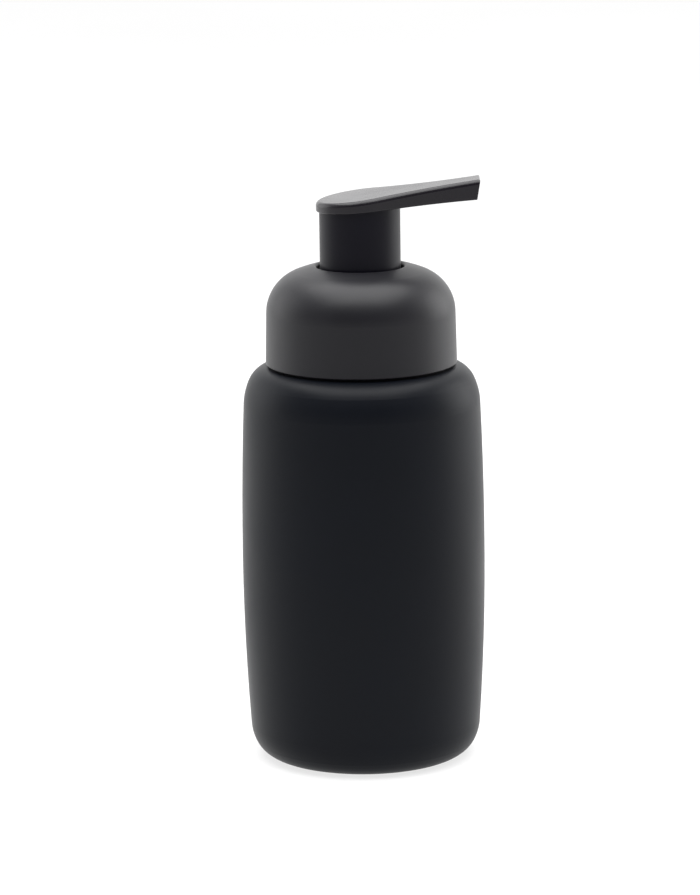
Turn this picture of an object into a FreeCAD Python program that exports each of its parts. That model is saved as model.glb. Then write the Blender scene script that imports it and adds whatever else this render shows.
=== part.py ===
import FreeCAD, Part
import math
import os
import Sketcher
from FreeCAD import Rotation, Vector

# A counter-top foam soap dispenser: a stoneware bottle, a domed screw cap and a foam pump with a
# leaf-shaped press head.  Millimetres, +Z up, +X along the spout, origin at the middle of the
# bottle's foot.  The pump is shown at rest, fully up.  Angles are in degrees.

SIZES = {
    # bottle, outside
    "bottle_height": 122.8,
    "body_radius": 37.5,
    "widest_height": 63.5,
    "low_side_lean": 4.0,
    "high_side_lean": 2.56,
    "heel_radius": 8.5,
    "heel_sweep": 62.0,
    "heel_blend_radius": 13.5,
    "shoulder_blend_radius": 19.0,
    "shoulder_blend_sweep": 22.5,
    "shoulder_radius": 7.7,
    "foot_recess_radius": 22.0,
    "foot_recess_depth": 1.2,
    # bottle, inside
    "inner_radius": 31.9,
    "inner_floor": 6.0,
    "inner_bend_radius": 9.0,
    "top_wall": 5.2,
    "mouth_radius": 19.6,
    # threaded neck, bonded into the mouth
    "neck_bore_radius": 16.6,
    "neck_root_radius": 18.8,
    "neck_sleeve_radius": 19.3,
    "neck_sleeve_depth": 12.8,
    "neck_flange_radius": 24.5,
    "neck_flange_thick": 1.4,
    "neck_height": 8.2,
    "seal_cord_radius": 0.84,
    "seal_groove_width": 2.0,
    "seal_depth": 7.0,
    # screw thread
    "thread_pitch": 3.2,
    "thread_turns": 1.25,
    "thread_base": 1.6,
    "thread_crest": 0.7,
    "thread_crest_radius": 19.9,
    "thread_foot": 125.6,
    "thread_start": 40.0,
    "ring_crest_radius": 19.15,
    "ring_root_radius": 20.25,
    # screw ring inside the cap
    "ring_outer_radius": 22.6,
    "ring_top_thick": 1.6,
    "ring_opening_radius": 15.9,
    "spline_reach": 1.6,
    "spline_width": 3.0,
    # domed cap
    "cap_gap": 0.6,
    "cap_radius": 29.4,
    "cap_draft": 1.3,
    "cap_wall_height": 16.1,
    "cap_corner_radius": 13.5,
    "cap_corner_sweep": 68.7,
    "cap_crown_radius": 60.0,
    "cap_crown_sweep": 5.7,
    "cap_wall": 2.2,
    "cap_lip_round": 0.8,
    "cap_lip_depth": 4.2,
    "cap_lip_root_sweep": 1.0,
    "cap_edge": 0.4,
    "rib_count": 10,
    "rib_thick": 1.4,
    "rib_inner_radius": 18.0,
    "rib_outer_radius": 28.0,
    "rib_foot_rise": 3.0,
    "rib_crown_rise": 6.0,
    # pump housing
    "gasket_thick": 1.2,
    "gasket_radius": 18.8,
    "flange_radius": 20.0,
    "flange_thick": 1.4,
    "air_bore_radius": 14.3,
    "liquid_bore_radius": 5.6,
    "housing_wall": 1.4,
    "air_floor": 110.0,
    "liquid_floor": 80.1,
    "inlet_pocket_radius": 2.6,
    "inlet_seat_height": 75.5,
    "inlet_seat_radius": 1.5,
    "inlet_ball_radius": 2.0,
    "ball_rest_gap": 0.015,
    "socket_top": 74.0,
    "socket_mouth": 64.0,
    "vent_radius": 0.5,
    "vent_height": 129.0,
    # pieces fixed to the housing
    "cage_thick": 1.0,
    "cage_slot_width": 1.5,
    "cage_slot_reach": 4.4,
    "tube_radius": 2.75,
    "tube_bore_radius": 1.8,
    "tube_foot": 8.5,
    "retainer_thick": 1.2,
    "retainer_radius": 15.5,
    "spigot_wall": 1.2,
    "spigot_depth": 2.2,
    "tower_bore_radius": 9.5,
    "tower_radius": 10.8,
    "tower_top": 155.0,
    "spring_wire_radius": 0.4,
    "spring_radius": 4.15,
    "spring_turns": 7,
    # plunger
    "fit_gap": 0.05,
    "running_gap": 0.08,
    "piston_foot": 103.0,
    "piston_height": 5.0,
    "rod_radius": 3.6,
    "rod_bore_radius": 2.4,
    "drive_flange_radius": 6.3,
    "drive_flange_thick": 1.0,
    "outlet_seat_height": 131.0,
    "outlet_seat_radius": 1.1,
    "outlet_seat_thick": 1.2,
    "outlet_ball_radius": 1.6,
    "rod_top": 135.0,
    "stem_foot": 125.2,
    "stem_waist_radius": 5.2,
    "stem_shoulder": 132.2,
    "stem_radius": 7.4,
    "stem_bore_radius": 6.2,
    "stem_top": 166.0,
    "partition_thick": 0.8,
    "partition_hole_radius": 1.4,
    "mixing_radius": 4.5,
    "air_groove_reach": 4.4,
    "air_groove_width": 1.2,
    "screen_seat": 140.0,
    "screen_thick": 0.4,
    "screen_hole_radius": 0.55,
    "screen_pitch": 2.0,
    "holder_length": 15.6,
    "holder_wall": 1.15,
    # air piston and its flap
    "air_lip_foot": 124.8,
    "air_lip_height": 5.2,
    "air_lip_wall": 1.1,
    "hub_height": 6.0,
    "hub_radius": 6.6,
    "web_rise": 1.0,
    "web_thick": 1.0,
    "air_hole_radius": 0.6,
    "air_hole_circle": 8.8,
    "flap_radius": 10.5,
    "flap_thick": 0.35,
    # press head
    "total_height": 180.4,
    "spout_reach": 36.8,
    "head_radius": 13.35,
    "flank_radius": 82.0,
    "flank_turn": 23.0,
    "tip_slope": 8.2,
    "top_radius": 3000.0,
    "top_sweep": 1.1,
    "under_height": 171.55,
    "under_slope": 4.2,
    "tip_undercut": 9.4,
    "cover_top": 1.0,
    "cover_side": 0.9,
    "cover_edge_round": 1.4,
    "cover_tip_round": 0.4,
    "cover_foot_round": 0.4,
    "sleeve_radius": 12.4,
    "sleeve_wall": 1.15,
    "sleeve_foot": 149.4,
    "head_ceiling": 170.0,
    "plate_top": 172.5,
    "boss_radius": 8.75,
    "boss_foot": 158.0,
    "chamber_radius": 5.0,
    "chamber_top": 172.4,
    "channel_radius": 1.0,
    "channel_start": 3.0,
    "channel_slope": 8.0,
    "nozzle_radius": 1.4,
    "nozzle_length": 2.8,
    "nozzle_drop": 4.0,
    "nozzle_proud": 0.15,
}


# ------------------------------------------------------------------ sizes and sketch outlines


class Size:
    """A number that also carries the spreadsheet expression that it comes from."""

    def __init__(self, value, text):
        self.value = value
        self.text = text

    def __add__(self, other):
        other = as_size(other)
        return Size(self.value + other.value, f"({self.text} + {other.text})")

    def __sub__(self, other):
        other = as_size(other)
        return Size(self.value - other.value, f"({self.text} - {other.text})")

    def __mul__(self, other):
        other = as_size(other)
        return Size(self.value * other.value, f"({self.text} * {other.text})")

    def __truediv__(self, other):
        other = as_size(other)
        return Size(self.value / other.value, f"({self.text} / {other.text})")

    def __neg__(self):
        return Size(-self.value, f"(0 - {self.text})")


def as_size(value):
    if isinstance(value, Size):
        return value
    return Size(float(value), f"({float(value)})")


def sine(angle):
    angle = as_size(angle)
    return Size(math.sin(math.radians(angle.value)), f"sin({angle.text} * 1deg)")


def cosine(angle):
    angle = as_size(angle)
    return Size(math.cos(math.radians(angle.value)), f"cos({angle.text} * 1deg)")


def tangent(angle):
    angle = as_size(angle)
    return Size(math.tan(math.radians(angle.value)), f"tan({angle.text} * 1deg)")


def root(number):
    return Size(math.sqrt(number.value), f"sqrt({number.text})")


class SizeSheet:
    """The driving dimensions as a spreadsheet; each alias reads back as a Size."""

    def __init__(self, document):
        sheet = document.addObject("Spreadsheet::Sheet", "Sizes")
        for row, (alias, value) in enumerate(SIZES.items(), start=1):
            sheet.set(f"A{row}", alias)
            sheet.set(f"B{row}", str(value))
            sheet.setAlias(f"B{row}", alias)

    def __getattr__(self, alias):
        return Size(SIZES[alias], f"Sizes.{alias}")


class Outline:
    """A closed outline of (across, up) points joined by straight lines and tangent arcs."""

    def __init__(self, across, up):
        self.points = [(as_size(across), as_size(up))]
        self.arcs = []
        self.heading = as_size(0)

    @property
    def across(self):
        return self.points[-1][0]

    @property
    def up(self):
        return self.points[-1][1]

    def to(self, across, up):
        self.points.append((as_size(across), as_size(up)))
        self.arcs.append(None)
        return self

    def face(self, heading):
        """Sets the direction of travel for the next go or bend."""
        self.heading = as_size(heading)
        return self

    def go(self, length):
        length = as_size(length)
        reach = self.across + length * cosine(self.heading)
        return self.to(reach, self.up + length * sine(self.heading))

    def bend(self, radius, sweep):
        """Adds an arc tangent to the direction of travel; a positive sweep turns left."""
        radius = as_size(radius)
        after = self.heading + sweep
        turn = radius if as_size(sweep).value > 0 else -radius
        across = self.across + turn * (sine(after) - sine(self.heading))
        up = self.up + turn * (cosine(self.heading) - cosine(after))
        self.arcs.append((radius, self.heading.value, turn.value))
        self.points.append((across, up))
        self.heading = after
        return self


def place(sketch, index, position, across, up):
    """Ties one vertex to its two coordinates."""
    for kind, axis, size in (("DistanceX", -2, across), ("DistanceY", -1, up)):
        if abs(size.value) < 1e-9:
            sketch.addConstraint(Sketcher.Constraint("PointOnObject", index, position, axis))
            continue
        row = sketch.addConstraint(
            Sketcher.Constraint(kind, -1, 1, index, position, size.value)
        )
        sketch.setExpression(f"Constraints[{row}]", size.text)


def bind_radius(sketch, index, radius):
    row = sketch.addConstraint(Sketcher.Constraint("Radius", index, radius.value))
    sketch.setExpression(f"Constraints[{row}]", radius.text)


def arc_edge(start, end, arc):
    """The arc between two path points, and the numbers of its first and last vertex."""
    radius, heading, turn = arc
    across = math.sin(math.radians(heading)) * turn
    up = math.cos(math.radians(heading)) * turn
    centre = Vector(start.x - across, start.y + up, 0)
    first, last = (start, end) if turn > 0 else (end, start)
    angles = [math.atan2(p.y - centre.y, p.x - centre.x) for p in (first, last)]
    circle = Part.Circle(centre, Vector(0, 0, 1), radius.value)
    return Part.ArcOfCircle(circle, angles[0], angles[1]), (1, 2) if turn > 0 else (2, 1)


def draw(sketch, outline):
    """Draws the outline, closing it with a straight line where it is open."""
    points = list(outline.points)
    arcs = list(outline.arcs)
    flat = [Vector(across.value, up.value, 0) for across, up in points]
    if (flat[0] - flat[-1]).Length > 1e-6:
        arcs.append(None)
    else:
        points.pop()
    ends = []
    for step, arc in enumerate(arcs):
        start = flat[step]
        end = flat[(step + 1) % len(points)]
        if arc is None:
            index = sketch.addGeometry(Part.LineSegment(start, end))
            ends.append((index, 1, 2))
            continue
        edge, (first, last) = arc_edge(start, end, arc)
        index = sketch.addGeometry(edge)
        bind_radius(sketch, index, arc[0])
        ends.append((index, first, last))
    for step, (index, first, last) in enumerate(ends):
        after, after_first, _ = ends[(step + 1) % len(ends)]
        sketch.addConstraint(Sketcher.Constraint("Coincident", index, last, after, after_first))
        place(sketch, index, first, *points[step])


def draw_circle(sketch, across, up, radius):
    across, up = as_size(across), as_size(up)
    circle = Part.Circle(Vector(across.value, up.value, 0), Vector(0, 0, 1), radius.value)
    index = sketch.addGeometry(circle)
    bind_radius(sketch, index, radius)
    place(sketch, index, 3, across, up)


# ------------------------------------------------------------------ features

document = FreeCAD.newDocument("soap_dispenser")
size = SizeSheet(document)
document.recompute()


def new_body(label):
    body = document.addObject("PartDesign::Body", label)
    body.Label = label
    return body


def new_sketch(body, name, role="XZ_Plane", lift=None):
    sketch = body.newObject("Sketcher::SketchObject", name)
    plane = [item for item in body.Origin.OriginFeatures if item.Role == role][0]
    sketch.AttachmentSupport = [(plane, "")]
    sketch.MapMode = "FlatFace"
    if lift is not None:
        sketch.setExpression("AttachmentOffset.Base.z", lift.text)
    return sketch


def revolve(body, outline, cut=False):
    """Turns an outline about Z, as material or as a groove."""
    sketch = new_sketch(body, f"{body.Name}_turned")
    draw(sketch, outline)
    kind = "Groove" if cut else "Revolution"
    feature = body.newObject(f"PartDesign::{kind}", f"{body.Name}_{kind.lower()}")
    feature.Profile = sketch
    feature.ReferenceAxis = (sketch, ["V_Axis"])
    feature.Angle = 360
    body.Tip = feature
    document.recompute()
    return feature


def turned_body(label, outline):
    body = new_body(label)
    revolve(body, outline)
    return body


def ring_outline(inner, outer, foot, top):
    """A rectangle that turns into a tube, ring or disc."""
    outline = Outline(inner, foot)
    return outline.to(outer, foot).to(outer, top).to(inner, top)


def prism(body, sketch, length, cut=False, both_ways=True, through=False):
    """Pads or pockets a sketch; both_ways puts half of the length on each side."""
    before = body.Shape.Volume if body.Tip else 0.0
    kind = "Pocket" if cut else "Pad"
    feature = body.newObject(f"PartDesign::{kind}", f"{body.Name}_{kind.lower()}")
    feature.Profile = sketch
    feature.setExpression("Length", length.text)
    if both_ways:
        feature.Midplane = True
    if through:
        feature.Type = "ThroughAll"
    body.Tip = feature
    document.recompute()
    if cut and body.Shape.Volume > before - 1e-4:
        raise RuntimeError(f"{feature.Name} removes nothing")
    return feature


def around(body, feature, count):
    """Repeats a feature evenly about Z."""
    axis = [item for item in body.Origin.OriginFeatures if item.Role == "Z_Axis"][0]
    pattern = body.newObject("PartDesign::PolarPattern", f"{feature.Name}_around")
    pattern.Originals = [feature]
    pattern.Axis = (axis, [""])
    pattern.Angle = 360
    pattern.setExpression("Occurrences", count.text)
    body.Tip = pattern
    document.recompute()
    return pattern


def combine(label, kind, pieces):
    """A boolean of finished pieces: Cut takes the second from the first, MultiFuse joins all."""
    result = document.addObject(f"Part::{kind}", label)
    result.Label = label
    if kind == "Cut":
        result.Base, result.Tool = pieces
    else:
        result.Shapes = pieces
    document.recompute()
    return result


def helical_thread(label, core, crest, foot):
    """A trapezoid swept along a helix; the core radius lies inside the piece it joins."""
    pitch = SIZES["thread_pitch"]
    half_base = SIZES["thread_base"] / 2
    half_crest = SIZES["thread_crest"] / 2
    helix = Part.makeHelix(pitch, pitch * SIZES["thread_turns"], core.value)
    corners = [
        Vector(core.value, 0, -half_base),
        Vector(crest.value, 0, -half_crest),
        Vector(crest.value, 0, half_crest),
        Vector(core.value, 0, half_base),
    ]
    profile = Part.makePolygon(corners + corners[:1])
    solid = helix.makePipeShell([profile], True, True)
    thread = document.addObject("Part::Feature", label)
    thread.Shape = solid
    thread.Placement.Rotation = Rotation(Vector(0, 0, 1), SIZES["thread_start"])
    thread.setExpression("Placement.Base.z", foot.text)
    return thread


# ------------------------------------------------------------------ shared heights and radii

cap_foot = size.bottle_height + size.cap_gap
neck_foot = size.bottle_height + size.neck_flange_thick
neck_top = size.bottle_height + size.neck_height
flange_foot = neck_top + size.gasket_thick
flange_top = flange_foot + size.flange_thick
ring_top = flange_top + size.ring_top_thick
tower_foot = flange_top + size.retainer_thick
cage_top = size.liquid_floor + size.cage_thick


# ------------------------------------------------------------------ bottle


def make_ceramic_bottle():
    """Barrel bottle: tangent arcs outside, an even inner wall, an open mouth and a foot ring."""
    low_heading = as_size(90) - size.low_side_lean
    high_heading = size.high_side_lean + 90
    shoulder_heading = high_heading + size.shoulder_blend_sweep
    blend_sweep = low_heading - size.heel_sweep
    heel_rise = size.heel_radius * (as_size(1) - cosine(size.heel_sweep)) + (
        size.heel_blend_radius * (cosine(size.heel_sweep) - cosine(low_heading))
    )
    shoulder_rise = size.shoulder_blend_radius * (
        cosine(high_heading) - cosine(shoulder_heading)
    ) + size.shoulder_radius * (cosine(shoulder_heading) + 1)
    low_radius = (size.widest_height - heel_rise) / cosine(low_heading)
    side_rise = size.bottle_height - size.widest_height - shoulder_rise
    high_radius = side_rise / sine(size.high_side_lean)
    heel_reach = (
        size.heel_radius * sine(size.heel_sweep)
        + size.heel_blend_radius * (sine(low_heading) - sine(size.heel_sweep))
        + low_radius * (as_size(1) - sine(low_heading))
    )
    outline = Outline(size.body_radius - heel_reach, 0)
    outline.bend(size.heel_radius, size.heel_sweep)
    outline.bend(size.heel_blend_radius, blend_sweep)
    outline.bend(low_radius, size.low_side_lean)
    outline.bend(high_radius, size.high_side_lean)
    outline.bend(size.shoulder_blend_radius, size.shoulder_blend_sweep)
    outline.bend(size.shoulder_radius, as_size(180) - shoulder_heading)
    outline.to(size.mouth_radius, size.bottle_height)
    outline.to(size.mouth_radius, size.bottle_height - size.top_wall)
    outline.to(size.inner_radius - size.inner_bend_radius, outline.up)
    outline.face(0).bend(size.inner_bend_radius, -90)
    outline.to(size.inner_radius, size.inner_floor + size.inner_bend_radius)
    outline.bend(size.inner_bend_radius, -90)
    outline.to(0, size.inner_floor)
    outline.to(0, size.foot_recess_depth)
    outline.to(size.foot_recess_radius - size.foot_recess_depth, size.foot_recess_depth)
    outline.to(size.foot_recess_radius, 0)
    return turned_body("ceramic_bottle", outline)


def make_neck_insert():
    """Threaded neck: a sleeve with a seal groove in the mouth, a flange on the rim, and threads."""
    groove_root = size.mouth_radius - size.fit_gap - size.seal_cord_radius * 2
    groove_foot = size.bottle_height - size.seal_depth - size.seal_groove_width / 2
    groove_top = groove_foot + size.seal_groove_width
    outline = Outline(size.neck_bore_radius, size.bottle_height - size.neck_sleeve_depth)
    outline.to(size.neck_sleeve_radius, outline.up)
    outline.to(size.neck_sleeve_radius, groove_foot)
    outline.to(groove_root, groove_foot)
    outline.to(groove_root, groove_top)
    outline.to(size.neck_sleeve_radius, groove_top)
    outline.to(size.neck_sleeve_radius, size.bottle_height)
    outline.to(size.neck_flange_radius, size.bottle_height)
    outline.to(size.neck_flange_radius, neck_foot)
    outline.to(size.neck_root_radius, neck_foot)
    outline.to(size.neck_root_radius, neck_top)
    outline.to(size.neck_bore_radius, neck_top)
    neck = turned_body("neck_core", outline)
    core = size.neck_root_radius - size.fit_gap * 3
    thread = helical_thread("neck_thread", core, size.thread_crest_radius, size.thread_foot)
    return combine("neck_insert", "MultiFuse", [neck, thread])


def make_insert_seal():
    """O-ring between the neck's sleeve and the mouth."""
    seal = document.addObject("Part::Torus", "insert_seal")
    ring = size.mouth_radius - size.fit_gap - size.seal_cord_radius
    seal.setExpression("Radius1", ring.text)
    seal.setExpression("Radius2", size.seal_cord_radius.text)
    seal.setExpression("Placement.Base.z", (size.bottle_height - size.seal_depth).text)
    return seal


# ------------------------------------------------------------------ cap


def make_dome_cap():
    """Domed shell with a drafted wall, a turned-in lip round the hole, and inner ribs."""
    wall = size.cap_wall
    wall_heading = size.cap_draft + 90
    crown_heading = wall_heading + size.cap_corner_sweep
    outline = Outline(size.cap_radius - size.cap_edge, cap_foot)
    outline.to(size.cap_radius, cap_foot + size.cap_edge)
    outline.face(wall_heading).go(size.cap_wall_height - size.cap_edge)
    corner_start = outline.points[-1]
    outline.bend(size.cap_corner_radius, size.cap_corner_sweep)
    crown_start = outline.points[-1]
    outline.bend(size.cap_crown_radius, size.cap_crown_sweep)
    outline.bend(size.cap_lip_round, as_size(270) - outline.heading)
    outline.go(size.cap_lip_depth)
    lip_foot = outline.up
    root_sweep = size.cap_crown_sweep - size.cap_lip_root_sweep
    root_heading = crown_heading + root_sweep
    inner_crown = size.cap_crown_radius - wall
    root_across = crown_start[0] - wall * sine(crown_heading) - (
        inner_crown * (sine(crown_heading) - sine(root_heading))
    )
    root_up = crown_start[1] + wall * cosine(crown_heading) + (
        inner_crown * (cosine(crown_heading) - cosine(root_heading))
    )
    outline.to(root_across, lip_foot)
    outline.to(root_across, root_up)
    outline.face(root_heading + 180).bend(inner_crown, -root_sweep)
    outline.bend(size.cap_corner_radius - wall, -size.cap_corner_sweep)
    outline.go(corner_start[1] - cap_foot)
    foot_across = outline.across
    outline.points.pop()
    outline.arcs.pop()
    outline.to(foot_across, cap_foot)
    cap = turned_body("dome_cap", outline)

    rib = Outline(size.ring_outer_radius + size.fit_gap, cap_foot + size.rib_foot_rise)
    rib.to(size.rib_outer_radius, rib.up)
    rib.to(size.rib_outer_radius, ring_top + size.rib_crown_rise)
    rib.to(size.rib_inner_radius, rib.up)
    rib.to(size.rib_inner_radius, ring_top)
    rib.to(size.ring_outer_radius + size.fit_gap, ring_top)
    sketch = new_sketch(cap, "cap_rib")
    draw(sketch, rib)
    around(cap, prism(cap, sketch, size.rib_thick), size.rib_count)
    return cap


def make_screw_ring():
    """Threaded ring that the cap turns; its top plate clamps the pump's flange on the neck."""
    outline = Outline(size.ring_root_radius, cap_foot + size.neck_flange_thick)
    outline.to(size.ring_outer_radius, outline.up)
    outline.to(size.ring_outer_radius, ring_top)
    outline.to(size.ring_opening_radius, ring_top)
    outline.to(size.ring_opening_radius, flange_top)
    outline.to(size.ring_root_radius, flange_top)
    ring = turned_body("ring_core", outline)

    middle = size.ring_outer_radius - size.spline_reach / 2
    spline = Outline(middle, -size.spline_width / 2)
    spline.to(size.ring_outer_radius + size.spline_reach, -size.spline_width / 2)
    spline.to(size.ring_outer_radius + size.spline_reach, size.spline_width / 2)
    spline.to(middle, size.spline_width / 2)
    foot = cap_foot + size.neck_flange_thick
    sketch = new_sketch(ring, "ring_spline", "XY_Plane", foot)
    draw(sketch, spline)
    around(ring, prism(ring, sketch, ring_top - foot, both_ways=False), size.rib_count)
    half_step = as_size(180) / size.rib_count
    ring.setExpression("Placement.Rotation.Angle", half_step.text)
    core = size.ring_root_radius + size.fit_gap * 3
    foot = size.thread_foot + size.thread_pitch / 2
    thread = helical_thread("ring_thread", core, size.ring_crest_radius, foot)
    return combine("screw_ring", "MultiFuse", [ring, thread])


# ------------------------------------------------------------------ pump housing and what it holds


def make_neck_gasket():
    outline = ring_outline(size.air_bore_radius + size.housing_wall + size.running_gap,
                           size.gasket_radius, neck_top, flange_foot)
    return turned_body("neck_gasket", outline)


def make_pump_housing():
    """Stepped cylinder: flange, wide air bore, narrow liquid bore, ball pocket and tube socket."""
    wall = size.housing_wall
    air_outer = size.air_bore_radius + wall
    liquid_outer = size.liquid_bore_radius + wall
    socket_outer = size.tube_radius + wall
    cone_top = size.inlet_seat_height + size.inlet_pocket_radius - size.inlet_seat_radius
    outline = Outline(size.flange_radius, flange_top)
    outline.to(size.flange_radius, flange_foot)
    outline.to(air_outer, flange_foot).to(air_outer, size.air_floor)
    outline.to(air_outer - wall, size.air_floor - wall)
    outline.to(liquid_outer + wall, size.air_floor - wall)
    outline.to(liquid_outer, size.air_floor - wall * 2)
    outline.to(liquid_outer, size.liquid_floor)
    outline.to(liquid_outer - wall, size.liquid_floor - wall)
    outline.to(socket_outer + wall, size.liquid_floor - wall)
    outline.to(socket_outer, size.liquid_floor - wall * 2).to(socket_outer, size.socket_mouth)
    outline.to(size.tube_radius, size.socket_mouth).to(size.tube_radius, size.socket_top)
    outline.to(size.inlet_seat_radius, size.socket_top)
    outline.to(size.inlet_seat_radius, size.inlet_seat_height)
    outline.to(size.inlet_pocket_radius, cone_top)
    outline.to(size.inlet_pocket_radius, size.liquid_floor)
    outline.to(size.liquid_bore_radius, size.liquid_floor)
    outline.to(size.liquid_bore_radius, size.air_floor)
    outline.to(size.air_bore_radius, size.air_floor)
    outline.to(size.air_bore_radius, flange_top)
    housing = turned_body("pump_housing", outline)

    sketch = new_sketch(housing, "vent_hole")
    draw_circle(sketch, 0, size.vent_height, size.vent_radius)
    prism(housing, sketch, size.flange_radius * 2, cut=True)
    return housing


def make_piston_retainer():
    """Plate over the flange, with a spigot in the air bore and a guide tower round the stem."""
    spigot = size.air_bore_radius - size.fit_gap
    outline = Outline(size.tower_bore_radius, flange_top)
    outline.to(spigot - size.spigot_wall, flange_top)
    outline.to(spigot - size.spigot_wall, flange_top - size.spigot_depth)
    outline.to(spigot, flange_top - size.spigot_depth)
    outline.to(spigot, flange_top)
    outline.to(size.retainer_radius, flange_top)
    outline.to(size.retainer_radius, tower_foot)
    outline.to(size.tower_radius, tower_foot)
    outline.to(size.tower_radius, size.tower_top)
    outline.to(size.tower_bore_radius, size.tower_top)
    return turned_body("piston_retainer", outline)


def make_dip_tube():
    """Straight suction tube whose foot is cut on the slant so that it can't seal on the floor."""
    tube = turned_body("dip_tube", ring_outline(
        size.tube_bore_radius, size.tube_radius, size.tube_foot, size.socket_top))
    reach = size.tube_radius + 1
    notch = Outline(-reach, size.tube_foot - 1)
    notch.to(reach, size.tube_foot - 1).to(-reach, size.tube_foot + size.tube_radius * 2)
    sketch = new_sketch(tube, "tube_slant")
    draw(sketch, notch)
    prism(tube, sketch, reach * 2, cut=True)
    return tube


def make_ball_cage():
    """Slotted disc over the inlet ball; the return spring stands on it."""
    cage = turned_body("ball_cage", ring_outline(
        0, size.liquid_bore_radius - size.fit_gap, size.liquid_floor, cage_top))
    half = size.cage_slot_width / 2
    slot = Outline(0.8, -half)
    slot.to(size.cage_slot_reach, -half).to(size.cage_slot_reach, half).to(0.8, half)
    sketch = new_sketch(cage, "cage_slot", "XY_Plane", size.liquid_floor)
    draw(sketch, slot)
    pocket = prism(cage, sketch, size.cage_thick * 3, cut=True)
    around(cage, pocket, as_size(3))
    return cage


def make_return_spring():
    """Compression spring between the ball cage and the liquid piston."""
    wire = SIZES["spring_wire_radius"]
    coil = SIZES["spring_radius"]
    low = cage_top.value + wire + SIZES["fit_gap"]
    high = SIZES["piston_foot"] - wire - SIZES["fit_gap"]
    pitch = (high - low) / SIZES["spring_turns"]
    helix = Part.makeHelix(pitch, high - low, coil)
    section = Part.Wire(Part.makeCircle(wire, Vector(coil, 0, 0), Vector(0, 1, 0)))
    spring = document.addObject("Part::Feature", "return_spring")
    spring.Shape = helix.makePipeShell([section], True, True)
    spring.Placement.Base = Vector(0, 0, low)
    return spring


def make_ball(label, radius, seat_height, seat_radius):
    """Valve ball just clear of the edge of its seat."""
    ball = document.addObject("Part::Sphere", label)
    ball.setExpression("Radius", radius.text)
    rest = root(radius * radius - seat_radius * seat_radius)
    ball.setExpression("Placement.Base.z", (seat_height + rest + size.ball_rest_gap).text)
    return ball


# ------------------------------------------------------------------ plunger


def make_liquid_piston():
    """Hollow rod: piston lip below, a drive flange for the air piston, the outlet seat on top."""
    lip = size.liquid_bore_radius - size.running_gap
    flange_up = size.stem_foot - size.fit_gap
    flange_down = flange_up - size.drive_flange_thick
    seat_foot = size.outlet_seat_height - size.outlet_seat_thick
    outline = Outline(size.rod_bore_radius, size.piston_foot)
    outline.to(lip, size.piston_foot).to(lip, size.piston_foot + size.piston_height)
    outline.to(size.rod_radius, outline.up + lip - size.rod_radius)
    outline.to(size.rod_radius, flange_down)
    outline.to(size.drive_flange_radius, flange_down)
    outline.to(size.drive_flange_radius, flange_up)
    outline.to(size.rod_radius, flange_up).to(size.rod_radius, size.rod_top)
    outline.to(size.rod_bore_radius, size.rod_top)
    outline.to(size.rod_bore_radius, size.outlet_seat_height)
    outline.to(size.outlet_seat_radius, size.outlet_seat_height)
    outline.to(size.outlet_seat_radius, seat_foot).to(size.rod_bore_radius, seat_foot)
    return turned_body("liquid_piston", outline)


def make_mixing_stem():
    """Upper stem: air grooves up to the mixing chamber, then the bore that holds the screens."""
    bore = size.rod_radius + size.fit_gap
    partition_foot = size.rod_top + size.fit_gap
    partition_top = partition_foot + size.partition_thick
    outline = Outline(bore, size.stem_foot)
    outline.to(size.stem_waist_radius, size.stem_foot)
    outline.to(size.stem_waist_radius, size.stem_shoulder)
    outline.to(size.stem_radius, size.stem_shoulder).to(size.stem_radius, size.stem_top)
    outline.to(size.stem_bore_radius, size.stem_top)
    outline.to(size.stem_bore_radius, size.screen_seat)
    outline.to(size.mixing_radius, size.screen_seat).to(size.mixing_radius, partition_top)
    outline.to(size.partition_hole_radius, partition_top)
    outline.to(size.partition_hole_radius, partition_foot).to(bore, partition_foot)
    stem = turned_body("mixing_stem", outline)

    groove = Outline(bore - size.fit_gap, size.stem_foot - 1)
    groove.to(size.stem_waist_radius + 1, groove.up)
    groove.to(size.stem_waist_radius + 1, size.stem_foot + size.web_rise)
    groove.to(size.air_groove_reach, groove.up)
    groove.to(size.air_groove_reach, partition_top + size.partition_thick)
    groove.to(bore - size.fit_gap, groove.up)
    sketch = new_sketch(stem, "air_groove")
    draw(sketch, groove)
    pocket = prism(stem, sketch, size.air_groove_width, cut=True)
    around(stem, pocket, as_size(3))

    sketch = new_sketch(stem, "partition_slot", "XY_Plane", partition_foot)
    half_length = size.rod_bore_radius
    half_width = size.partition_hole_radius / 3
    slot = Outline(-half_length, -half_width)
    slot.to(half_length, -half_width).to(half_length, half_width).to(-half_length, half_width)
    draw(sketch, slot)
    prism(stem, sketch, size.partition_thick * 3, cut=True)
    return stem


def make_screen(label, foot):
    """Perforated disc; the holes lie on two hexagonal rings round a middle one."""
    radius = size.stem_bore_radius - size.fit_gap
    screen = turned_body(label, ring_outline(0, radius, foot, foot + size.screen_thick))
    sketch = new_sketch(screen, f"{label}_holes", "XY_Plane", foot)
    for row in range(-2, 3):
        for column in range(-2, 3):
            if abs(row + column) > 2:
                continue
            across = size.screen_pitch * (column + row / 2)
            up = size.screen_pitch * row * sine(60)
            draw_circle(sketch, across, up, size.screen_hole_radius)
    prism(screen, sketch, size.screen_thick * 3, cut=True)
    return screen


def make_screen_holder():
    """Sleeve that spaces the two screens apart."""
    outer = size.stem_bore_radius - size.fit_gap
    foot = size.screen_seat + size.screen_thick
    return turned_body("screen_holder", ring_outline(
        outer - size.holder_wall, outer, foot, foot + size.holder_length))


# ------------------------------------------------------------------ air piston


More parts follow.
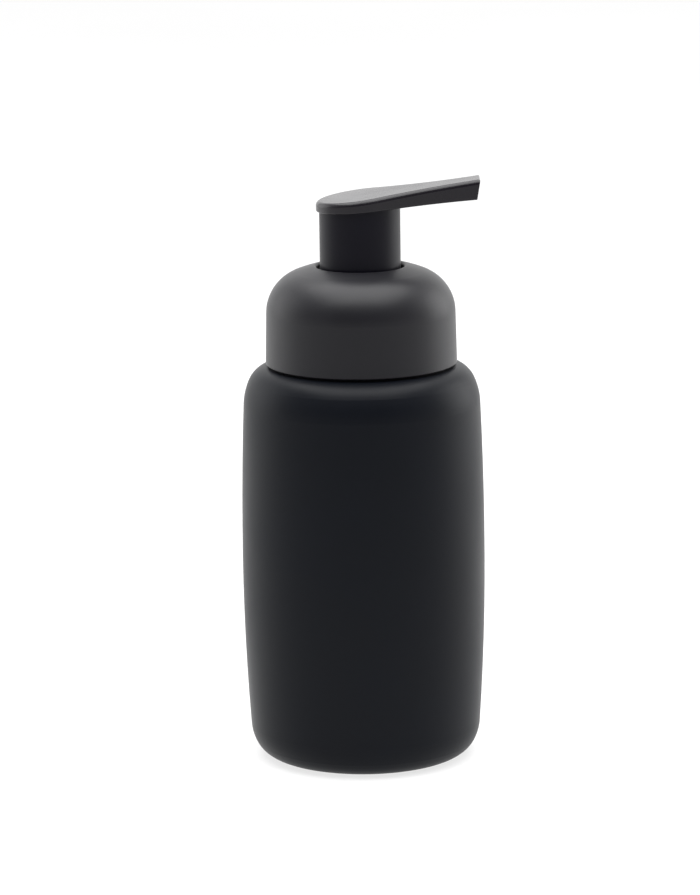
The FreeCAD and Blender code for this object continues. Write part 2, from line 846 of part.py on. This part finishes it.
def make_air_piston():
    """Lip ring, perforated web and hub; it slides a little on the stem's waist to open the air way."""
    lip = size.air_bore_radius - size.running_gap
    web_foot = size.stem_foot + size.web_rise
    web_top = web_foot + size.web_thick
    lip_inner = lip - size.air_lip_wall
    lip_top = size.air_lip_foot + size.air_lip_height
    hub_bore = size.stem_waist_radius + size.running_gap
    hub_top = size.stem_foot + size.hub_height
    outline = Outline(hub_bore, size.stem_foot)
    outline.to(size.hub_radius, size.stem_foot).to(size.hub_radius, web_foot)
    outline.to(lip_inner, web_foot).to(lip_inner, size.air_lip_foot)
    outline.to(lip, size.air_lip_foot).to(lip, lip_top)
    outline.to(lip_inner, lip_top).to(lip_inner, web_top)
    outline.to(size.hub_radius, web_top).to(size.hub_radius, hub_top)
    outline.to(hub_bore, hub_top)
    piston = turned_body("air_piston", outline)

    sketch = new_sketch(piston, "air_hole", "XY_Plane", web_foot)
    draw_circle(sketch, size.air_hole_circle, 0, size.air_hole_radius)
    pocket = prism(piston, sketch, size.web_thick * 3, cut=True)
    around(piston, pocket, as_size(6))
    return piston


def make_air_valve():
    """Thin flap ring under the web that closes its holes on the down stroke."""
    top = size.stem_foot + size.web_rise
    inner = size.hub_radius + size.fit_gap
    return turned_body("air_valve", ring_outline(
        inner, size.flap_radius, top - size.flap_thick, top))


# ------------------------------------------------------------------ press head


def leaf_outline(inset):
    """Plan of the head: a round end blending through hollow flanks into a parallel spout."""
    radius = size.head_radius - inset
    flank = size.flank_radius + inset
    half_width = radius * cosine(size.flank_turn) - flank * (as_size(1) - cosine(size.flank_turn))
    flank_end = (radius + flank) * sine(size.flank_turn)
    far = size.spout_reach + 4
    outline = Outline(far, -half_width).to(far, half_width).to(flank_end, half_width)
    outline.face(180).bend(flank, -size.flank_turn)
    outline.bend(radius, size.flank_turn * 2 + 180)
    outline.bend(flank, -size.flank_turn)
    return outline


def side_outline(top_inset, tip_inset, drop):
    """Side view of the head: a flat underside, a hollow top rising to the tip, a leaning end."""
    slope = size.tip_slope + 180
    tip_top = size.total_height - top_inset / cosine(size.tip_slope)
    lean = tangent(size.tip_undercut)
    fall = tangent(size.under_slope)
    back = size.spout_reach - (size.top_radius + top_inset) * (
        sine(size.tip_slope) - sine(size.tip_slope - size.top_sweep)
    )
    tip = size.spout_reach - tip_inset
    foot = size.under_height - drop
    depth = tip_top - foot - tip * fall
    tip_foot = tip - depth * lean
    outline = Outline(back, foot + back * fall)
    outline.to(tip_foot, foot + tip_foot * fall)
    outline.to(tip, tip_top - tip_inset * sine(size.tip_slope))
    outline.face(slope).bend(size.top_radius + top_inset, -size.top_sweep)
    return outline


def head_block(label, inset, top_inset, tip_inset, drop):
    """The head's plan and side view, crossed."""
    plan = new_body(f"{label}_plan")
    foot = size.under_height - size.head_radius
    sketch = new_sketch(plan, f"{label}_leaf", "XY_Plane", foot)
    draw(sketch, leaf_outline(inset))
    prism(plan, sketch, size.head_radius * 2, both_ways=False)
    side = new_body(f"{label}_side")
    sketch = new_sketch(side, f"{label}_profile")
    draw(sketch, side_outline(top_inset, tip_inset, drop))
    prism(side, sketch, size.head_radius * 4)
    return combine(label, "MultiCommon", [plan, side])


def round_edges(label, source, radius_of):
    """Rounds each edge to the radius that radius_of gives it, or leaves it sharp for None."""
    result = document.addObject("Part::Fillet", label)
    result.Label = label
    result.Base = source
    radii = [(i, radius_of(edge)) for i, edge in enumerate(source.Shape.Edges, start=1)]
    result.Edges = [(index, radius.value, radius.value) for index, radius in radii if radius]
    document.recompute()
    return result


def sloping_rod(label, radius, across, up, slope, length):
    """Cylinder in the XZ plane that starts at a point and climbs by the slope's angle."""
    rod = document.addObject("Part::Cylinder", label)
    rod.setExpression("Radius", radius.text)
    rod.setExpression("Height", length.text)
    rod.Placement.Rotation = Rotation(Vector(0, 1, 0), 90 - slope.value)
    rod.setExpression("Placement.Base.x", across.text)
    rod.setExpression("Placement.Base.z", up.text)
    return rod


def nozzle_rod(label, radius, spare=0):
    """Cylinder square to the spout's leaning end; spare lengthens it both ways."""
    lean = size.tip_undercut
    reach = size.nozzle_proud + spare
    face = size.spout_reach - size.nozzle_drop * tangent(lean)
    length = size.nozzle_length + spare * 2
    across = face + (reach - length) * cosine(lean)
    up = size.total_height - size.nozzle_drop - (reach - length) * sine(lean)
    return sloping_rod(label, radius, across, up, -lean, length)


def channel_rod(label, radius):
    """Foam way from the chamber up the spout to the nozzle's inner end."""
    slope = size.channel_slope
    end = size.spout_reach - size.nozzle_length
    length = (end - size.channel_start) / cosine(slope)
    up = size.chamber_top + size.channel_start * tangent(slope)
    return sloping_rod(label, radius, size.channel_start, up, slope, length)


def make_head_cover():
    """Leaf-shaped lid with a turned-down rim; the nozzle passes through its tip."""
    blank = head_block("cover_blank", as_size(0), as_size(0), as_size(0), as_size(0))
    rounded = round_edges("cover_rounded", blank, cover_edge_radius)
    cavity = head_block(
        "cover_cavity", size.cover_side, size.cover_top, size.cover_side, size.cover_side * 2)
    shell = combine("cover_shell", "Cut", [rounded, cavity])
    hole = nozzle_rod("nozzle_hole", size.nozzle_radius, 1)
    return combine("head_cover", "Cut", [shell, hole])


def cover_edge_radius(edge):
    """Soft round the top's rim, crisp across the tip and at the foot; upright edges stay sharp."""
    box = edge.BoundBox
    if box.XLength + box.YLength < box.ZLength:
        return None
    foot = size.under_height + tangent(size.under_slope) * box.Center.x
    if abs(box.Center.z - foot.value) < 0.1:
        return size.cover_foot_round
    if box.YLength > box.XLength * 4 and box.Center.x > size.spout_reach.value / 2:
        return size.cover_tip_round
    return size.cover_edge_round


def make_actuator_body():
    """Sleeve, socket for the stem and the plug that fills the cover, bored for the foam."""
    wall = size.sleeve_radius - size.sleeve_wall
    boss_bore = size.stem_radius + size.fit_gap
    outline = Outline(wall, size.sleeve_foot).to(size.sleeve_radius, size.sleeve_foot)
    outline.to(size.sleeve_radius, size.plate_top).to(0, size.plate_top)
    outline.to(0, size.head_ceiling).to(boss_bore, size.head_ceiling)
    outline.to(boss_bore, size.boss_foot).to(size.boss_radius, size.boss_foot)
    outline.to(size.boss_radius, size.head_ceiling).to(wall, size.head_ceiling)
    sleeve = turned_body("head_sleeve", outline)
    plug = head_block("head_plug", size.cover_side, size.cover_top, size.cover_side, as_size(0))
    stop = size.stem_top + size.fit_gap
    land = turned_body("stem_land", ring_outline(
        size.chamber_radius, size.boss_radius, stop, size.head_ceiling + size.fit_gap))
    solid = combine("actuator_solid", "MultiFuse", [sleeve, plug, land])
    chamber = turned_body("foam_chamber", ring_outline(
        0, size.chamber_radius, stop, size.chamber_top))
    channel = channel_rod("foam_channel", size.channel_radius)
    seat = nozzle_rod("nozzle_seat", size.nozzle_radius)
    hollow = combine("actuator_hollow", "MultiFuse", [chamber, channel, seat])
    return combine("actuator_body", "Cut", [solid, hollow])


def make_nozzle_tip():
    """Short outlet tube pressed into the spout's end."""
    outer = nozzle_rod("nozzle_outer", size.nozzle_radius)
    bore = nozzle_rod("nozzle_bore", size.channel_radius, 1)
    return combine("nozzle_tip", "Cut", [outer, bore])


# ------------------------------------------------------------------ build, check and write

upper_screen_foot = size.screen_seat + size.screen_thick + size.holder_length

nodes = [
    make_ceramic_bottle(),
    make_neck_insert(),
    make_insert_seal(),
    make_dome_cap(),
    make_screw_ring(),
    make_neck_gasket(),
    make_pump_housing(),
    make_piston_retainer(),
    make_dip_tube(),
    make_ball_cage(),
    make_return_spring(),
    make_ball("inlet_ball", size.inlet_ball_radius, size.inlet_seat_height, size.inlet_seat_radius),
    make_ball("outlet_ball", size.outlet_ball_radius, size.outlet_seat_height,
              size.outlet_seat_radius),
    make_liquid_piston(),
    make_mixing_stem(),
    make_screen("lower_screen", size.screen_seat),
    make_screen_holder(),
    make_screen("upper_screen", upper_screen_foot),
    make_air_piston(),
    make_air_valve(),
    make_actuator_body(),
    make_head_cover(),
    make_nozzle_tip(),
]

document.recompute()
for item in document.Objects:
    if any(word in item.State for word in ("Invalid", "Error")):
        raise RuntimeError(f"{item.Label} failed: {item.State}")
for node in nodes:
    if node.Shape.isNull() or not node.Shape.isValid() or len(node.Shape.Solids) != 1:
        raise RuntimeError(f"{node.Label} has no single valid solid")

os.makedirs("parts", exist_ok=True)
for node in nodes:
    node.Shape.exportStep(f"parts/{node.Label}.step")
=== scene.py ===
import math

import bpy
from mathutils import Matrix, Vector


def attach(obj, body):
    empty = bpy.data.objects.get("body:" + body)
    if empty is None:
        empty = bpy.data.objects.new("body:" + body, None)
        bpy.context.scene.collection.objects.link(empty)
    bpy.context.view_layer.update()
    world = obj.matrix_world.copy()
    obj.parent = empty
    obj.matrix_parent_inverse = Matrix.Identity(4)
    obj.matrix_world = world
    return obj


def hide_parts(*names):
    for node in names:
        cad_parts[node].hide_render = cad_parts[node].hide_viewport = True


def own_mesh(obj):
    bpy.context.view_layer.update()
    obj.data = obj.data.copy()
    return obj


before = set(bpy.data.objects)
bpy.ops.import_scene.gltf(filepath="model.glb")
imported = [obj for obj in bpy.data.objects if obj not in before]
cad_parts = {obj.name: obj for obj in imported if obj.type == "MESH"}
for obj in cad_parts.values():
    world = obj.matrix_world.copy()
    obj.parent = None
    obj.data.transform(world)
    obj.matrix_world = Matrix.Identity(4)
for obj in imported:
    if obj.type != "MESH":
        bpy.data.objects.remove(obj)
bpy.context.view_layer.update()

# A counter-top foam soap dispenser: a rounded matte bottle, a domed cap and a leaf-shaped press
# head.  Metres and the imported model's own frame: +Z up, +X along the spout.

MM = 0.001


# ------------------------------------------------------------------ node helpers


def new_material(name):
    """An empty node tree with its output and one Principled shader."""
    material = bpy.data.materials.new(name)
    material.use_nodes = True
    tree = material.node_tree
    tree.nodes.clear()
    output = tree.nodes.new("ShaderNodeOutputMaterial")
    shader = tree.nodes.new("ShaderNodeBsdfPrincipled")
    tree.links.new(shader.outputs["BSDF"], output.inputs["Surface"])
    return material, tree, shader


def noise(tree, scale, detail=3.0, roughness=0.5, distortion=0.0, stretch=(1, 1, 1)):
    """Noise on object coordinates; scale is in features per metre."""
    place = tree.nodes.new("ShaderNodeTexCoord")
    mapping = tree.nodes.new("ShaderNodeMapping")
    mapping.inputs["Scale"].default_value = stretch
    texture = tree.nodes.new("ShaderNodeTexNoise")
    texture.inputs["Scale"].default_value = scale
    texture.inputs["Detail"].default_value = detail
    texture.inputs["Roughness"].default_value = roughness
    texture.inputs["Distortion"].default_value = distortion
    tree.links.new(place.outputs["Object"], mapping.inputs["Vector"])
    tree.links.new(mapping.outputs["Vector"], texture.inputs["Vector"])
    return texture.outputs["Fac"]


def spread(tree, value, low, high, start=0.3, end=0.7):
    """Maps a value's useful middle, start to end, to the range low to high."""
    node = tree.nodes.new("ShaderNodeMapRange")
    node.inputs["From Min"].default_value = start
    node.inputs["From Max"].default_value = end
    node.inputs["To Min"].default_value = low
    node.inputs["To Max"].default_value = high
    tree.links.new(value, node.inputs["Value"])
    return node.outputs["Result"]


def two_tone(tree, value, dark, light, start=0.3, end=0.7):
    """Colour that runs from dark to light over a value's useful middle."""
    ramp = tree.nodes.new("ShaderNodeValToRGB")
    ramp.color_ramp.elements[0].position = start
    ramp.color_ramp.elements[0].color = (*dark, 1)
    ramp.color_ramp.elements[1].position = end
    ramp.color_ramp.elements[1].color = (*light, 1)
    tree.links.new(value, ramp.inputs["Fac"])
    return ramp.outputs["Color"]


def blend_colours(tree, value, first, second):
    """Runs from the first colour to the second as the value goes from 0 to 1."""
    mix = tree.nodes.new("ShaderNodeMixRGB")
    tree.links.new(value, mix.inputs["Fac"])
    tree.links.new(first, mix.inputs["Color1"])
    tree.links.new(second, mix.inputs["Color2"])
    return mix.outputs["Color"]


def object_height(tree):
    """Height above the foot, in metres."""
    place = tree.nodes.new("ShaderNodeTexCoord")
    split = tree.nodes.new("ShaderNodeSeparateXYZ")
    tree.links.new(place.outputs["Object"], split.inputs["Vector"])
    return split.outputs["Z"]


def relief(tree, shader, layers):
    """Stacks bumps; each layer is a height value, its depth in metres and its strength."""
    normal = None
    for value, depth, strength in layers:
        bump = tree.nodes.new("ShaderNodeBump")
        bump.inputs["Distance"].default_value = depth
        bump.inputs["Strength"].default_value = strength
        tree.links.new(value, bump.inputs["Height"])
        if normal is not None:
            tree.links.new(normal, bump.inputs["Normal"])
        normal = bump.outputs["Normal"]
    tree.links.new(normal, shader.inputs["Normal"])


def shade(colour, factor):
    """The same colour, darker below 1 and lighter above it."""
    return tuple(channel * factor for channel in colour)


def base_tones(tree, shader, value, colour, darker, lighter):
    """Base colour that varies about one colour with a value."""
    tones = two_tone(tree, value, shade(colour, darker), shade(colour, lighter))
    tree.links.new(tones, shader.inputs["Base Color"])


def rough(tree, shader, value, low, high):
    """Roughness that varies between two limits with a value."""
    tree.links.new(spread(tree, value, low, high), shader.inputs["Roughness"])


def soft_sheen(shader, weight, roughness):
    """The faint glow that matte surfaces show at a glancing angle."""
    shader.inputs["Sheen Weight"].default_value = weight
    shader.inputs["Sheen Roughness"].default_value = roughness


# ------------------------------------------------------------------ materials


def matte_stoneware():
    """Near-black matte glaze with faint mottling and fine dry grain; the foot ring is bare clay."""
    material, tree, shader = new_material("matte_stoneware")
    mottle = noise(tree, scale=26, detail=5, roughness=0.6)
    grain = noise(tree, scale=2600, detail=3, roughness=0.7)
    wave = noise(tree, scale=45, detail=2, roughness=0.4)
    glaze_colour = (0.0019, 0.0028, 0.0054)
    dark_clay, light_clay = (0.20, 0.17, 0.14), (0.30, 0.26, 0.21)
    clay_top, glaze_start = 0.1 * MM, 0.4 * MM
    glaze = two_tone(tree, mottle, shade(glaze_colour, 0.88), shade(glaze_colour, 1.15))
    clay = two_tone(tree, grain, dark_clay, light_clay)
    glazed = spread(tree, object_height(tree), 0.0, 1.0, clay_top, glaze_start)
    tree.links.new(blend_colours(tree, glazed, clay, glaze), shader.inputs["Base Color"])
    rough(tree, shader, mottle, 0.38, 0.46)
    shader.inputs["Specular IOR Level"].default_value = 0.13
    soft_sheen(shader, weight=0.03, roughness=0.35)
    relief(tree, shader, [(wave, 0.12 * MM, 0.25), (grain, 0.03 * MM, 0.35)])
    return material


def moulded_plastic(name, colour, roughness=0.5, specular=0.3, sheen=0.0):
    """Moulded plastic: fine even spark texture and very faint flow shading."""
    material, tree, shader = new_material(name)
    flow = noise(tree, scale=60, detail=3, roughness=0.5, distortion=0.4)
    grain = noise(tree, scale=4200, detail=2, roughness=0.6)
    base_tones(tree, shader, flow, colour, 0.93, 1.07)
    rough(tree, shader, flow, roughness - 0.03, roughness + 0.03)
    shader.inputs["Specular IOR Level"].default_value = specular
    soft_sheen(shader, weight=sheen, roughness=0.4)
    relief(tree, shader, [(grain, 0.02 * MM, 0.4)])
    return material


def translucent_plastic(name, colour, passing):
    """Natural polypropylene or polyethylene that lets some light through."""
    material = moulded_plastic(name, colour, roughness=0.35, specular=0.5)
    shader = material.node_tree.nodes["Principled BSDF"]
    shader.inputs["Transmission Weight"].default_value = passing
    shader.inputs["IOR"].default_value = 1.49
    shader.inputs["Subsurface Weight"].default_value = 0.2
    shader.inputs["Subsurface Radius"].default_value = (2 * MM, 2 * MM, 2 * MM)
    return material


def bright_steel(name, stretch):
    """Bright steel with fine lines; stretch packs them closer along an axis."""
    material, tree, shader = new_material(name)
    lines = noise(tree, scale=900, detail=4, roughness=0.6, stretch=stretch)
    base_tones(tree, shader, lines, (0.56, 0.56, 0.55), 0.85, 1.1)
    rough(tree, shader, lines, 0.2, 0.34)
    shader.inputs["Metallic"].default_value = 1.0
    relief(tree, shader, [(lines, 0.01 * MM, 0.2)])
    return material


def soft_rubber(name, colour):
    """Satin rubber, silicone or fine mesh with a slight bloom."""
    material, tree, shader = new_material(name)
    bloom = noise(tree, scale=220, detail=4, roughness=0.6)
    base_tones(tree, shader, bloom, colour, 0.85, 1.2)
    rough(tree, shader, bloom, 0.55, 0.75)
    shader.inputs["Specular IOR Level"].default_value = 0.35
    relief(tree, shader, [(bloom, 0.03 * MM, 0.3)])
    return material


def pale_floor():
    """Plain off-white floor that glows a little, so that it stays pale under a soft light."""
    material, tree, shader = new_material("pale_floor")
    cloud = noise(tree, scale=3, detail=2, roughness=0.5)
    tones = two_tone(tree, cloud, (0.24, 0.24, 0.24), (0.26, 0.26, 0.26))
    tree.links.new(tones, shader.inputs["Base Color"])
    shader.inputs["Roughness"].default_value = 0.9
    shader.inputs["Specular IOR Level"].default_value = 0.1
    shader.inputs["Emission Color"].default_value = (1.0, 1.0, 1.0, 1)
    shader.inputs["Emission Strength"].default_value = 0.74
    return material


stoneware = matte_stoneware()
cap_plastic = moulded_plastic("cap_plastic", (0.0040, 0.0038, 0.0064),
                              roughness=0.43, specular=0.32, sheen=0.05)
sleeve_plastic = moulded_plastic("sleeve_plastic", (0.0028, 0.0024, 0.0060),
                                 roughness=0.40, specular=0.13, sheen=0.06)
head_plastic = moulded_plastic("head_plastic", (0.0056, 0.0042, 0.0072),
                               roughness=0.26, specular=0.32, sheen=0.05)
neck_plastic = moulded_plastic("neck_plastic", (0.006, 0.006, 0.006))
natural_plastic = translucent_plastic("natural_plastic", (0.72, 0.73, 0.71), passing=0.25)
clear_plastic = translucent_plastic("clear_plastic", (0.74, 0.76, 0.76), passing=0.6)
black_rubber = soft_rubber("black_rubber", (0.015, 0.015, 0.015))
white_seal = soft_rubber("white_seal", (0.68, 0.68, 0.66))
silicone = soft_rubber("silicone", (0.6, 0.62, 0.62))
spring_wire = bright_steel("spring_wire", stretch=(1, 1, 12))
ball_steel = bright_steel("ball_steel", stretch=(1, 1, 1))
screen_mesh = soft_rubber("screen_mesh", (0.8, 0.8, 0.78))

FINISHES = {
    "ceramic_bottle": stoneware,
    "neck_insert": neck_plastic,
    "insert_seal": black_rubber,
    "dome_cap": cap_plastic,
    "screw_ring": neck_plastic,
    "neck_gasket": white_seal,
    "pump_housing": clear_plastic,
    "piston_retainer": natural_plastic,
    "dip_tube": clear_plastic,
    "ball_cage": natural_plastic,
    "return_spring": spring_wire,
    "inlet_ball": ball_steel,
    "outlet_ball": ball_steel,
    "liquid_piston": natural_plastic,
    "mixing_stem": natural_plastic,
    "lower_screen": screen_mesh,
    "screen_holder": natural_plastic,
    "upper_screen": screen_mesh,
    "air_piston": natural_plastic,
    "air_valve": silicone,
    "actuator_body": sleeve_plastic,
    "head_cover": head_plastic,
    "nozzle_tip": neck_plastic,
}


def finish_nodes():
    """Gives every CAD node its material in place of the plain one."""
    for name, material in FINISHES.items():
        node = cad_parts[name]
        node.data.materials.clear()
        node.data.materials.append(material)


# ------------------------------------------------------------------ return spring


def add_object(name, data):
    """Links new mesh, light or camera data into the scene under one name."""
    made = bpy.data.objects.new(name, data)
    bpy.context.collection.objects.link(made)
    return made


def coil_ring(angle, height, coil, wire, sides):
    """One ring of points round the wire, where the coil has turned by an angle."""
    out = Vector((math.cos(angle), math.sin(angle), 0))
    centre = out * coil + Vector((0, 0, height))
    turns = [2 * math.pi * k / sides for k in range(sides)]
    return [centre + (out * math.cos(t) + Vector((0, 0, math.sin(t)))) * wire for t in turns]


def spring_mesh(foot, length, coil, wire, turns, steps=48, sides=12):
    """A helix of round wire; coil and wire are radii, and steps are the rings in one turn."""
    count = turns * steps + 1
    rise = (length - 2 * wire) / (count - 1)
    points, faces = [], [tuple(range(sides))]
    for i in range(count):
        angle = 2 * math.pi * i / steps
        points += coil_ring(angle, foot + wire + rise * i, coil, wire, sides)
    for i in range(count - 1):
        for k in range(sides):
            a, b = i * sides + k, i * sides + (k + 1) % sides
            faces.append((b, a, a + sides, b + sides))
    faces.append(tuple(reversed(range((count - 1) * sides, count * sides))))
    mesh = bpy.data.meshes.new("spring_coil")
    mesh.from_pydata(points, [], faces)
    mesh.shade_smooth()
    return mesh


def make_spring():
    """Wire coil that stands for the CAD spring and moves with the pump body."""
    foot, length, stroke = 81.15 * MM, 21.8 * MM, 14 * MM
    mesh = spring_mesh(foot, length, coil=4.15 * MM, wire=0.4 * MM, turns=7)
    mesh.materials.append(spring_wire)
    spring = add_object("spring_coil", mesh)
    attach(spring, "pump_body")
    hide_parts("return_spring")
    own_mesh(spring)


# ------------------------------------------------------------------ floor, light and camera


def make_floor():
    """A flat square under the foot, far wider than the view."""
    half = 4.0
    corners = [(-half, -half, 0), (half, -half, 0), (half, half, 0), (-half, half, 0)]
    mesh = bpy.data.meshes.new("floor")
    mesh.from_pydata(corners, [], [(0, 1, 2, 3)])
    mesh.materials.append(pale_floor())
    add_object("floor", mesh)


def make_world():
    """White surroundings, brighter behind the object, at +Y, than in front of it."""
    world = bpy.data.worlds.new("studio")
    world.use_nodes = True
    tree = world.node_tree
    backdrop = tree.nodes["Background"]
    backdrop.inputs["Color"].default_value = (1.0, 1.0, 1.0, 1)
    place = tree.nodes.new("ShaderNodeTexCoord")
    split = tree.nodes.new("ShaderNodeSeparateXYZ")
    tree.links.new(place.outputs["Generated"], split.inputs["Vector"])
    front, back = 0.17, 1.40
    strength = spread(tree, split.outputs["Y"], front, back, -1.0, 1.0)
    tree.links.new(strength, backdrop.inputs["Strength"])
    bpy.context.scene.world = world


def soft_panel(name, place, width, height, power):
    """A rectangular soft box that faces the middle of the dispenser."""
    light = bpy.data.lights.new(name, "AREA")
    light.shape = "RECTANGLE"
    light.size = width
    light.size_y = height
    light.energy = power
    lamp = add_object(name, light)
    lamp.location = place
    middle = Vector((0, 0, 0.09))
    lamp.rotation_mode = "QUATERNION"
    lamp.rotation_quaternion = (middle - Vector(place)).to_track_quat("-Z", "Y")


def make_light():
    """White surroundings and three soft boxes: one overhead and one behind each shoulder."""
    make_world()
    soft_panel("top_panel", (0, -0.02, 1.1), width=1.3, height=1.3, power=25)
    soft_panel("left_panel", (-1.1, 0.45, 0.35), width=0.8, height=1.0, power=3)
    soft_panel("right_panel", (1.1, 0.45, 0.35), width=0.8, height=1.0, power=7)


def make_camera():
    """Long lens a little above the dispenser, as far away as the perspective asks."""
    camera = bpy.data.cameras.new("camera")
    camera.lens = 182.6
    camera.sensor_width = 36.0
    camera.sensor_fit = "AUTO"
    camera.clip_start = 0.05
    distance = 1.400
    elevation, roll = math.radians(11.9), math.radians(-0.73)
    aim = Vector((-0.00385, 0, 0.0967))
    offset = Vector((0, -math.cos(elevation), math.sin(elevation))) * distance
    facing = (-offset).to_track_quat("-Z", "Y").to_matrix().to_4x4()
    tilt = Matrix.Rotation(roll, 4, "Z")
    viewer = add_object("camera", camera)
    viewer.matrix_world = Matrix.Translation(aim + offset) @ facing @ tilt
    bpy.context.scene.camera = viewer


finish_nodes()
make_spring()
make_floor()
make_light()
make_camera()
bpy.context.scene.view_settings.view_transform = "Standard"
